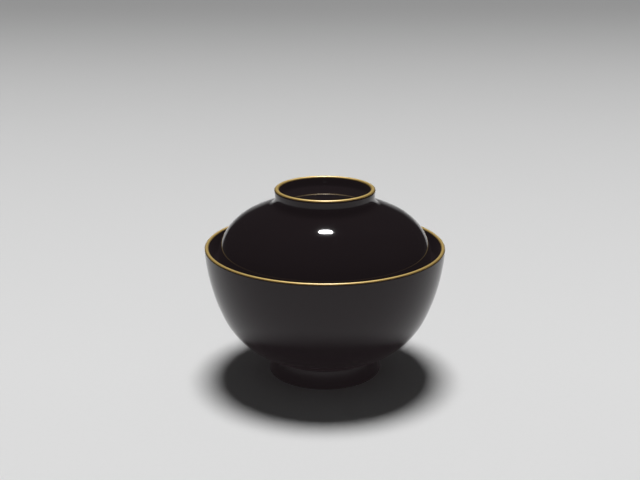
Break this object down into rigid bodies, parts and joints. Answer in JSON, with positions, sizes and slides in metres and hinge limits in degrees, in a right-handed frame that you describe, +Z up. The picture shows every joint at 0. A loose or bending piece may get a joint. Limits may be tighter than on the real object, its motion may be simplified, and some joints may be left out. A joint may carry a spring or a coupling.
{
  "type": "lidded soup bowl",
  "caption": "Black lacquered wooden soup bowl on a foot ring, with gold lips and a domed lift-off lid that sits inside the mouth and has a ring grip.",
  "frame": {"origin": "on the bowl's axis, in the plane that the foot ring stands on", "axes": "+Z up along the axis of the bowl and lid; the object is round, so +X is any direction"},
  "size_m": [0.12, 0.12, 0.0958],
  "materials": {
    "turned_wood": "turned, sealed under the coats",
    "hemp_cloth": "plain weave, glued under the coats",
    "bowl_lacquer": "black lacquer, soft gloss",
    "lid_lacquer": "black lacquer, high gloss",
    "gold_edge": "burnished gold"
  },
  "bodies": {
    "bowl": {"bowl_wood_core": "turned_wood", "bowl_rim_cloth": "hemp_cloth", "bowl_outer_lacquer": "bowl_lacquer", "bowl_inner_lacquer": "bowl_lacquer", "bowl_recess_lacquer": "bowl_lacquer", "bowl_tread_lacquer": "bowl_lacquer", "bowl_rim_gold": "gold_edge"},
    "lid": {"lid_wood_core": "turned_wood", "lid_edge_cloth": "hemp_cloth", "lid_outer_lacquer": "lid_lacquer", "lid_inner_lacquer": "lid_lacquer", "lid_cup_lacquer": "lid_lacquer", "lid_grip_gold": "gold_edge"}
  },
  "joints": [
    {"name": "lid_lift", "type": "slide", "parent": "bowl", "child": "lid", "axis": [0, 0, 1], "range_m": [0, 0.1]}
  ]
}
